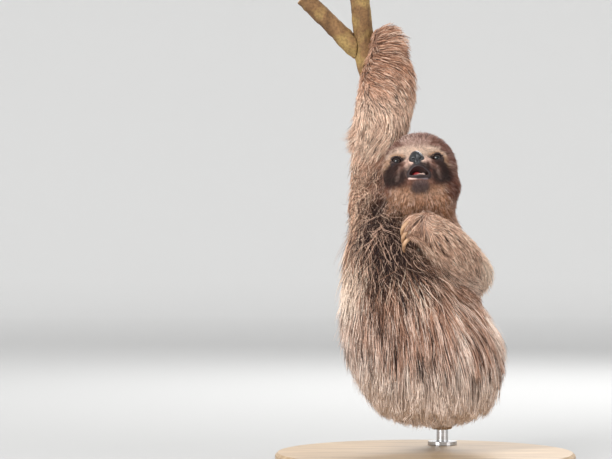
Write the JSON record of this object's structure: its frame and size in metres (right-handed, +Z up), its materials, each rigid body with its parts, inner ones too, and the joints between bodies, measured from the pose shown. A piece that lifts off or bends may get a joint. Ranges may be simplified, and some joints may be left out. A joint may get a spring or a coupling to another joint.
{
  "type": "three-toed sloth",
  "caption": "Still, life-size brown-throated three-toed sloth that clings to a cut forked stem and looks back over its shoulder, on a plain display stand.",
  "frame": {"origin": "middle of the stand's underside", "axes": "+Z up; the animal's back and its turned face look along -Y, its belly and the stem are on the +Y side; the trunk's left is at -X"},
  "size_m": [0.3, 0.3, 0.4833],
  "materials": {
    "coat": "long coarse fur, brown at the root and pale at the tip",
    "face": "short dense fur, cream brow and dark eye stripes",
    "nose": "bare black skin, moist",
    "tongue": "wet, dark red",
    "eye": "wet, near black",
    "claw": "smooth horn, satin",
    "bark": "thin grey-brown bark with pale lichen, sawn ends",
    "stand": "pale lacquered wood, satin",
    "rod": "brushed"
  },
  "bodies": {
    "root": {"neck": "coat", "trunk": "coat", "tail": "coat", "ear_left": "coat", "ear_right": "coat", "upper_arm_left": "coat", "upper_arm_right": "coat", "forearm_left": "coat", "forearm_right": "coat", "hand_left": "coat", "hand_right": "coat", "thigh_left": "coat", "thigh_right": "coat", "shin_left": "coat", "shin_right": "coat", "foot_left": "coat", "foot_right": "coat", "head": "face", "jaw": "face", "nose": "nose", "tongue": "tongue", "eye_left": "eye", "eye_right": "eye", "claw_hand_left_1": "claw", "claw_hand_left_2": "claw", "claw_hand_left_3": "claw", "claw_hand_right_1": "claw", "claw_hand_right_2": "claw", "claw_hand_right_3": "claw", "claw_foot_left_1": "claw", "claw_foot_left_2": "claw", "claw_foot_left_3": "claw", "claw_foot_right_1": "claw", "claw_foot_right_2": "claw", "claw_foot_right_3": "claw", "perch_stem": "bark", "perch_prong": "bark", "stand_base": "stand", "stand_rod": "rod"}
  },
  "joints": []
}
